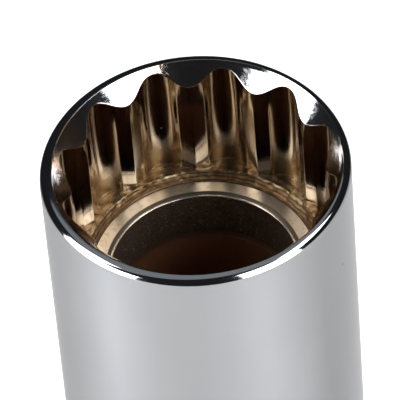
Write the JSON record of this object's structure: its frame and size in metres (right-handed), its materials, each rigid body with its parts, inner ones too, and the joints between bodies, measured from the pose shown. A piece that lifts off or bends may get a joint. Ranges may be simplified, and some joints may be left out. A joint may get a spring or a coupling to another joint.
{
  "type": "spark plug socket",
  "caption": "Deep round socket with a bi-hexagon recess, lead-in cone and magnetic retaining ring at one end and a square drive hole at the other, for turning spark plugs.",
  "frame": {"origin": "centre of the drive end's face, on the socket's axis", "axes": "+Z along the axis out of the mouth; the flats of the square drive face +X, +Y, -X and -Y, and ridges of the recess lie on the X and Y axes"},
  "size_m": [0.0182, 0.0182, 0.065],
  "materials": {
    "bright_plating": "mirror-polished bright plating outside, warmer bare nickel inside the recess and the bore",
    "satin_nickel": "satin, turned",
    "ferrite": "dark grey sintered, fine grain"
  },
  "bodies": {
    "root": {"socket_body": "bright_plating", "pole_washer": "satin_nickel", "magnet_ring": "ferrite"}
  },
  "joints": []
}
